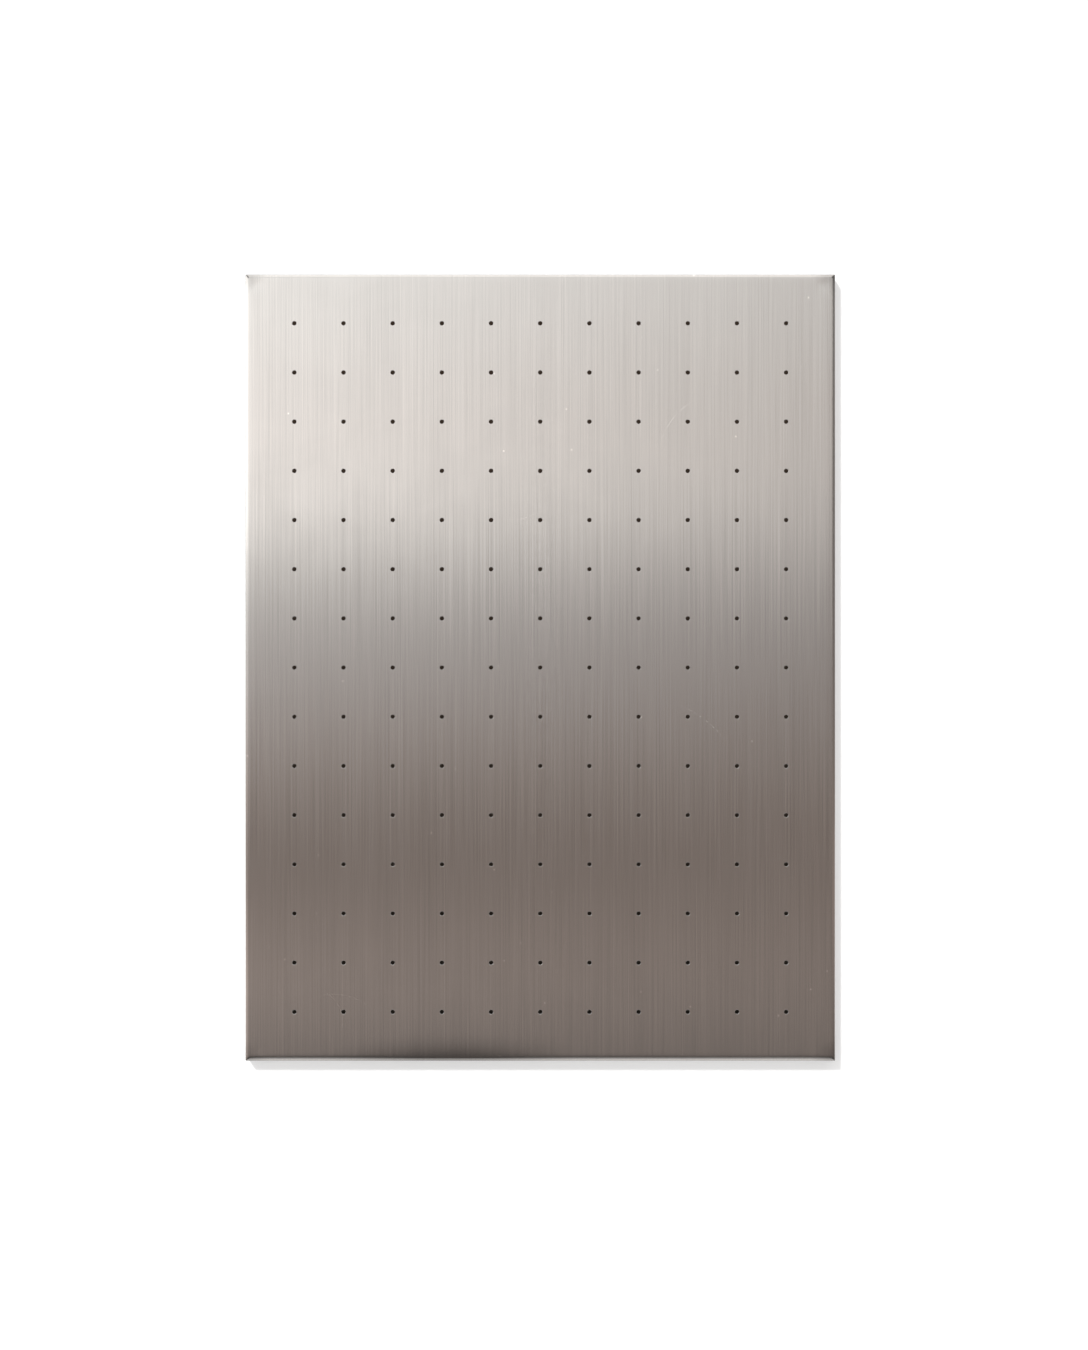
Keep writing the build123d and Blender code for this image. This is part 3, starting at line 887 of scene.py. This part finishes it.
wall_rails = []
for level in ("top", "bottom"):
    low, high = (np.array(corner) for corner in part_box(f"wall_rail_{level}"))
    line = hooked_line(high[1] - RAIL / 2, low[2], -1, 1)
    holes = [(RAIL_FOOT, x, SLOT_HALF, SLOT_RADIUS, SLOT_ROOM) for x in (-0.2, -0.1, 0.1, 0.2)]
    patches = punched_strip(line, RAIL_ROUND, RAIL, low[0], high[0], holes, lambda a, b, along: (along, a, b))
    mesh = closed_mesh(f"hooked_wall_rail_{level}", patches)
    wall_rails.append(new_piece(mesh.name, mesh, "wall_rails", "galvanised_steel", f"wall_rail_{level}"))


# ---------------------------------------------------------------------------------------------------
# Finishes of the hidden pieces: spangled zinc from the hot bath, bright zinc plate, a flash of
# copper, drawn aluminium and moulded rubber. All lie on the pieces' own places.

# Fine pits: small dents and a slight change of shine, as on plated, cast or moulded skins.
pits, given, give = new_group(
    "fine pits", {"Place": VECTOR, "Size": NUMBER, "Depth": NUMBER}, {"Normal": VECTOR, "Shine": NUMBER}
)
per_metre = calc(pits, "DIVIDE", 1.0, given["Size"])
dents = add_node(
    pits, "ShaderNodeTexNoise", {"Vector": given["Place"], "Scale": per_metre, "Detail": 3.0}
).outputs[0]
bumped = add_node(
    pits, "ShaderNodeBump", {"Strength": 1.0, "Distance": given["Depth"], "Height": dents}
).outputs[0]
pits.links.new(bumped, give["Normal"])
pits.links.new(calc(pits, "SUBTRACT", dents, 0.5), give["Shine"])


def object_place(tree):
    """The place of a point on its piece."""
    return add_node(tree, "ShaderNodeTexCoord").outputs["Object"]


def mixed(tree, share, first, second):
    """A colour between two, by share."""
    return add_node(
        tree, "ShaderNodeMix", {0: share, 6: (*first, 1), 7: (*second, 1)}, data_type="RGBA"
    ).outputs[2]


def galvanised():
    """Hot-dip zinc: crystals a few millimetres across, each with its own tone, under dull white bloom."""
    made, tree, shader = new_material("galvanised_steel", {"IOR": 1.5})
    place = object_place(tree)
    wander = add_node(
        tree, "ShaderNodeTexNoise", {"Vector": place, "Scale": 420.0, "Detail": 2.0}
    ).outputs["Color"]
    wander = on_vector(tree, "SCALE", wander, Scale=0.0022)
    warped = on_vector(tree, "ADD", place, wander)
    crystal = add_node(tree, "ShaderNodeTexVoronoi", {"Vector": warped, "Scale": 150.0})
    tone, shine, turn = add_node(tree, "ShaderNodeSeparateColor", {0: crystal.outputs["Color"]}).outputs
    feather = add_node(
        tree, "ShaderNodeTexWave",
        {
            "Vector": warped,
            "Scale": 190.0,
            "Distortion": 14.0,
            "Detail": 2.0,
            "Phase Offset": calc(tree, "MULTIPLY", turn, 20.0),
        },
    ).outputs["Fac"]  # fmt: skip
    marks = use_group(tree, stains, {"Place": place, "Size": 0.035, "Specks": 160.0, "Share": 0.1})
    skin = use_group(tree, pits, {"Place": place, "Size": 0.0009, "Depth": 0.00002})
    bloom = remap(tree, marks["Cloud"], 0.5, 0.72)
    bright = calc(tree, "ADD", calc(tree, "MULTIPLY", tone, 0.34), calc(tree, "MULTIPLY", feather, 0.1))
    metal = on_vector(tree, "SCALE", (0.60, 0.615, 0.635), Scale=calc(tree, "ADD", bright, 0.74))
    dulled = {0: calc(tree, "MULTIPLY", bloom, 0.55), 6: metal, 7: (0.52, 0.53, 0.535, 1)}
    dull = add_node(tree, "ShaderNodeMix", dulled, data_type="RGBA").outputs[2]
    tree.links.new(dull, shader.inputs["Base Color"])
    rough = calc(tree, "ADD", 0.3, calc(tree, "MULTIPLY", shine, 0.16))
    rough = calc(
        tree,
        "ADD",
        rough,
        calc(tree, "ADD", calc(tree, "MULTIPLY", bloom, 0.2), calc(tree, "MULTIPLY", marks["Speck"], 0.2)),
    )
    tree.links.new(rough, shader.inputs["Roughness"])
    tree.links.new(remap(tree, bloom, 0.0, 1.0, 1.0, 0.72), shader.inputs["Metallic"])
    tree.links.new(skin["Normal"], shader.inputs["Normal"])
    return made


def plated(name, fresh, aged, share, rough, size, depth):
    """A thin plated or drawn skin: fresh colour going over to aged in cloudy patches, with fine pits."""
    made, tree, shader = new_material(name, {"Metallic": 1.0, "IOR": 1.5})
    place = object_place(tree)
    marks = use_group(tree, stains, {"Place": place, "Size": size, "Specks": 900.0, "Share": 0.1})
    skin = use_group(tree, pits, {"Place": place, "Size": 0.00035, "Depth": depth})
    tarnish = calc(
        tree, "MAXIMUM", remap(tree, marks["Cloud"], *share), calc(tree, "MULTIPLY", marks["Speck"], 0.42)
    )
    tree.links.new(mixed(tree, tarnish, fresh, aged), shader.inputs["Base Color"])
    shine = calc(tree, "ADD", rough, calc(tree, "MULTIPLY", skin["Shine"], 0.15))
    tree.links.new(
        calc(tree, "ADD", shine, calc(tree, "MULTIPLY", tarnish, 0.16)), shader.inputs["Roughness"]
    )
    tree.links.new(skin["Normal"], shader.inputs["Normal"])
    return made


def rubber():
    """Moulded grey rubber with a fine matt skin and pale dust caught on it."""
    made, tree, shader = new_material("grey_rubber", {"IOR": 1.5})
    place = object_place(tree)
    marks = use_group(tree, stains, {"Place": place, "Size": 0.004, "Specks": 1400.0, "Share": 0.1})
    skin = use_group(tree, pits, {"Place": place, "Size": 0.0002, "Depth": 0.00001})
    dust = calc(
        tree,
        "ADD",
        calc(tree, "MULTIPLY", remap(tree, marks["Cloud"], 0.5, 0.8), 0.4),
        calc(tree, "MULTIPLY", marks["Speck"], 0.5),
    )
    tree.links.new(mixed(tree, dust, (0.05, 0.05, 0.053), (0.2, 0.19, 0.175)), shader.inputs["Base Color"])
    tree.links.new(
        calc(tree, "ADD", 0.68, calc(tree, "MULTIPLY", skin["Shine"], 0.3)), shader.inputs["Roughness"]
    )
    tree.links.new(skin["Normal"], shader.inputs["Normal"])
    return made


zinc_bath = galvanised()
zinc_plate = plated(
    "zinc_plate", (0.72, 0.74, 0.77), (0.60, 0.585, 0.52), (0.45, 0.75), 0.24, 0.006, 0.000012
)
copper = plated("copper_flash", (0.80, 0.43, 0.27), (0.36, 0.19, 0.13), (0.48, 0.7), 0.3, 0.005, 0.00002)
aluminium = plated(
    "aluminium_rivet", (0.80, 0.81, 0.83), (0.56, 0.565, 0.575), (0.5, 0.8), 0.3, 0.004, 0.000015
)
grey_rubber = rubber()
for finish, pieces in (
    (zinc_bath, stiffeners + cleats + wall_rails), (zinc_plate, nut_pieces), (copper, stud_pieces),
    (aluminium, rivet_pieces), (grey_rubber, bumpers),
):  # fmt: skip
    for piece in pieces:
        piece.data.materials.append(finish)
for level in ("top", "bottom"):
    for side in ("left", "right"):
        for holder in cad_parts[f"corner_gusset_{level}_{side}"].material_slots:
            holder.material = zinc_bath


# ---------------------------------------------------------------------------------------------------
# Studio: a white wall that only a camera in front of it can see, with a dark patch of painted shade on it
# behind the panel, a pale floor that fades out, a sky that is bright above and to the left and dark to the
# right, and one soft lamp from the upper left.

wall_behind = cad_box[1][1] + 0.0005


def flat_stage(name, low, high, colour, glow, fade=None):
    """A rectangle of the studio between two corners; fade gives how far it is gone, by its own place."""
    (x0, y0, z0), (x1, y1, z1) = low, high
    mesh = bpy.data.meshes.new(name)
    if y0 == y1:
        corners = [(x0, y0, z0), (x1, y0, z0), (x1, y0, z1), (x0, y0, z1)]
    else:
        corners = [(x0, y0, z0), (x1, y0, z0), (x1, y1, z0), (x0, y1, z0)]
    mesh.from_pydata(corners, [], [(0, 1, 2, 3)])
    made = bpy.data.objects.new(name, mesh)
    bpy.context.scene.collection.objects.link(made)
    paint = bpy.data.materials.new(name)
    paint.use_nodes = True
    tree = paint.node_tree
    tree.nodes.clear()
    diffuse = add_node(tree, "ShaderNodeBsdfDiffuse", {"Color": (*colour, 1)}).outputs[0]
    light = add_node(tree, "ShaderNodeEmission", {"Color": (1, 1, 1, 1), "Strength": glow})
    solid = add_node(tree, "ShaderNodeAddShader", {0: diffuse, 1: light.outputs[0]}).outputs[0]
    clear = add_node(tree, "ShaderNodeBsdfTransparent").outputs[0]
    behind = add_node(tree, "ShaderNodeNewGeometry").outputs["Backfacing"]
    other_ray = calc(tree, "SUBTRACT", 1.0, add_node(tree, "ShaderNodeLightPath").outputs["Is Camera Ray"])
    hide = calc(tree, "MAXIMUM", behind, other_ray)
    if fade is not None:
        hide = calc(tree, "MAXIMUM", hide, fade(tree, object_place(tree)))
    shown = add_node(tree, "ShaderNodeMixShader", {0: hide, 1: solid, 2: clear}).outputs[0]
    tree.links.new(shown, add_node(tree, "ShaderNodeOutputMaterial").inputs[0])
    made.data.materials.append(paint)
    return made, light


middle_z = sheet_middle[2]
flat_stage("wall", (-7, wall_behind, middle_z - 5), (7, wall_behind, middle_z + 5), (0.5, 0.5, 0.5), 0.45)


def soft_sides(tree, place):
    """Gone towards all four edges of the dark patch of painted shade on the wall."""
    aside, _, height = add_node(tree, "ShaderNodeSeparateXYZ", {0: place}).outputs
    sideways = remap(tree, calc(tree, "ABSOLUTE", aside), 0.257, 0.292)
    upwards = remap(tree, calc(tree, "ABSOLUTE", calc(tree, "SUBTRACT", height, middle_z)), 0.361, 0.385)
    return calc(tree, "MAXIMUM", sideways, upwards)


def soft_round(tree, place):
    """Gone with distance from below the middle of the object."""
    away = on_vector(tree, "DISTANCE", place, (0, 0, floor_z), "Value")
    return remap(tree, away, 1.2, 2.1)


# Painted shade: a dark patch on the wall right behind the panel, so that the recess seen through the holes
# looks shaded. It glows a faint brown above and near black below, darker towards the bottom.
unlit_y = wall_behind - 0.0002
unlit_low, unlit_high = (-0.292, unlit_y, middle_z - 0.385), (0.292, unlit_y, middle_z + 0.385)
painted_shade_wall, light = flat_stage("painted_shade_wall", unlit_low, unlit_high, (0.02, 0.015, 0.012), 1.0, soft_sides)
tree = painted_shade_wall.data.materials[0].node_tree
height = add_node(tree, "ShaderNodeSeparateXYZ", {0: object_place(tree)}).outputs[2]
lower_share = remap(tree, height, middle_z + 0.25, middle_z - 0.3)
tree.links.new(mixed(tree, lower_share, (0.034, 0.024, 0.018), (0.007, 0.006, 0.005)), light.inputs["Color"])
floor_z = middle_z - 0.78
flat_stage("floor", (-2.2, -2.2, floor_z), (2.2, 2.2, floor_z), (0.7, 0.69, 0.68), 0.1, soft_round)

lamp = bpy.data.lights.new("upper_left_lamp", "SUN")
lamp.energy = 3.6
lamp.angle = math.radians(7)
lamp_object = bpy.data.objects.new("upper_left_lamp", lamp)
bpy.context.scene.collection.objects.link(lamp_object)
lamp_object.rotation_euler = Vector((0.43, 1.0, -0.64)).to_track_quat("-Z", "Y").to_euler()
lamp_object.visible_glossy = False

world = bpy.data.worlds.new("studio")
bpy.context.scene.world = world
world.use_nodes = True
tree = world.node_tree
tree.nodes.clear()
heading = add_node(tree, "ShaderNodeTexCoord").outputs["Generated"]
east, north, up = add_node(tree, "ShaderNodeSeparateXYZ", {0: heading}).outputs


def by_height(stops):
    """A value or colour by height in the sky, from -0.5 to 0.5, straight between stops."""
    most = max(np.max(value) for _, value in stops)
    made = add_node(tree, "ShaderNodeValToRGB", {0: remap(tree, up, -0.5, 0.5)})
    ramp = made.color_ramp
    while len(ramp.elements) < len(stops):
        ramp.elements.new(0.5)
    for element, (height, value) in zip(ramp.elements, stops):
        element.position = height + 0.5
        element.color = (*(np.ones(3) * value / most), 1)
    return on_vector(tree, "SCALE", made.outputs[0], Scale=most)


front_glow = by_height([
    (-0.50, 0.66), (-0.42, 0.50), (-0.34, 0.56), (-0.25, 0.16), (-0.16, 0.09), (-0.144, 0.12), (-0.134, 0.30), (
        -0.115, 0.375
    ),
    (-0.095, 0.32), (-0.078, 0.24), (
        -0.062, 0.15
    ), (-0.05, 0.205), (-0.03, 0.32), (-0.012, 0.38), (0.003, 0.42),
    (0.02, 0.42), (0.033, 0.555), (0.046, 0.82), (0.058, 1.05), (0.07, 1.02), (0.085, 0.91), (0.115, 0.96),
    (0.13, 1.03), (0.25, 1.08), (0.36, 0.92), (0.5, 0.98),
])  # fmt: skip
overhead = calc(tree, "MULTIPLY", remap(tree, up, 0.5, 0.65, 1.0, 1.9), remap(tree, up, 0.9, 0.97, 1.0, 0.5))
underfoot = remap(tree, up, -0.55, -0.75, 1.0, 1.35)
slope = by_height([
    (-0.3, -0.3), (-0.13, 1.0), (
        -0.096, 2.1
    ), (-0.063, 0.9), (-0.03, 2.3), (0.0, 3.1), (0.02, 2.5), (0.06, 4.3),
    (0.1, 3.3), (0.14, 2.7), (0.25, 1.8), (0.34, 0.6),
])  # fmt: skip
sideways = calc(tree, "MINIMUM", calc(tree, "SUBTRACT", 1.0, calc(tree, "MULTIPLY", slope, east)), 2.1)
least = by_height([
    (-0.4, 0.6), (-0.22, 0.45), (-0.15, 0.1), (-0.12, 0.19), (-0.095, 0.33), (-0.07, 0.36), (-0.03, 0.25),
    (0.0, 0.2), (0.18, 0.2), (0.3, 0.5),
])  # fmt: skip
least = calc(tree, "MULTIPLY", least, remap(tree, east, 0.12, 0.26))
ahead = calc(
    tree,
    "MULTIPLY",
    calc(tree, "MULTIPLY", front_glow, calc(tree, "MULTIPLY", overhead, underfoot)),
    sideways,
)
ahead = calc(tree, "MAXIMUM", ahead, least)
off_side = calc(tree, "ABSOLUTE", calc(tree, "ADD", east, 0.038))
low_dark = calc(
    tree, "MULTIPLY", remap(tree, off_side, 0.02, 0.075, 0.7, 0.0), remap(tree, up, -0.105, -0.12)
)
ahead = calc(tree, "MULTIPLY", ahead, calc(tree, "SUBTRACT", 1.0, low_dark))
floor_tint = (1.0, 0.985, 0.98)
west_tint = by_height([
    (-0.24, floor_tint), (
        -0.13, (1.0, 0.885, 0.84)
    ), (-0.095, (1.0, 0.86, 0.79)), (-0.05, (1.0, 0.84, 0.765)),
    (0.0, (1.0, 0.98, 0.975)), (
        0.045, (1.0, 1.015, 1.01)
    ), (0.08, (1.0, 0.97, 0.955)), (0.135, (1.0, 1.02, 1.02)),
])  # fmt: skip
east_tint = by_height([
    (-0.24, floor_tint), (-0.13, (1.0, 0.86, 0.785)), (-0.09, (1.0, 0.83, 0.76)), (
        -0.047, (1.0, 0.815, 0.715)
    ),
    (0.0, (1.0, 0.87, 0.835)), (0.05, (1.0, 0.915, 0.87)), (0.09, (1.0, 0.90, 0.845)), (
        0.135, (1.0, 0.965, 0.95)
    ),
])  # fmt: skip
to_east = remap(tree, east, -0.09, 0.09)
tint = add_node(tree, "ShaderNodeMix", {0: to_east, 6: west_tint, 7: east_tint}, data_type="RGBA").outputs[2]
ahead = on_vector(tree, "SCALE", tint, Scale=ahead)
rear_glow = by_height([
    (-0.5, 0.8), (-0.4, 0.42), (-0.31, 0.4), (
        -0.24, 0.66
    ), (-0.17, 1.0), (-0.1, 1.0), (-0.04, 0.5), (0.04, 0.5),
    (0.12, 0.75), (0.2, 0.95), (0.38, 0.95), (0.46, 0.65),
])  # fmt: skip
side_box = remap(tree, calc(tree, "ABSOLUTE", calc(tree, "SUBTRACT", east, 0.12)), 0.3, 0.8, 0.8, 1.1)
rear_glow = on_vector(tree, "SCALE", rear_glow, Scale=side_box)
rear = remap(tree, north, 0.2, 0.55)
radiance = add_node(tree, "ShaderNodeMix", {0: rear, 6: ahead, 7: rear_glow}, data_type="RGBA").outputs[2]
glow = add_node(tree, "ShaderNodeBackground", {0: radiance, 1: 1.0}).outputs[0]
plain = add_node(tree, "ShaderNodeBackground", {0: (1, 1, 1, 1), 1: 1.0}).outputs[0]
seen = add_node(tree, "ShaderNodeLightPath").outputs["Is Camera Ray"]
sky = add_node(tree, "ShaderNodeMixShader", {0: seen, 1: glow, 2: plain}).outputs[0]
tree.links.new(sky, add_node(tree, "ShaderNodeOutputWorld").inputs[0])

scene = bpy.context.scene
scene.view_settings.view_transform = "Standard"
scene.view_settings.look = "None"

camera = bpy.data.cameras.new("camera")
camera_distance = 3.0
frame_height = 1.3723
camera.sensor_width = 36
camera.lens = 36 * camera_distance / frame_height
camera_object = bpy.data.objects.new("camera", camera)
camera_object.location = (0.0038, front - camera_distance, middle_z - 0.0075)
camera_object.rotation_euler = (math.pi / 2, 0, 0)
scene.collection.objects.link(camera_object)
scene.camera = camera_object
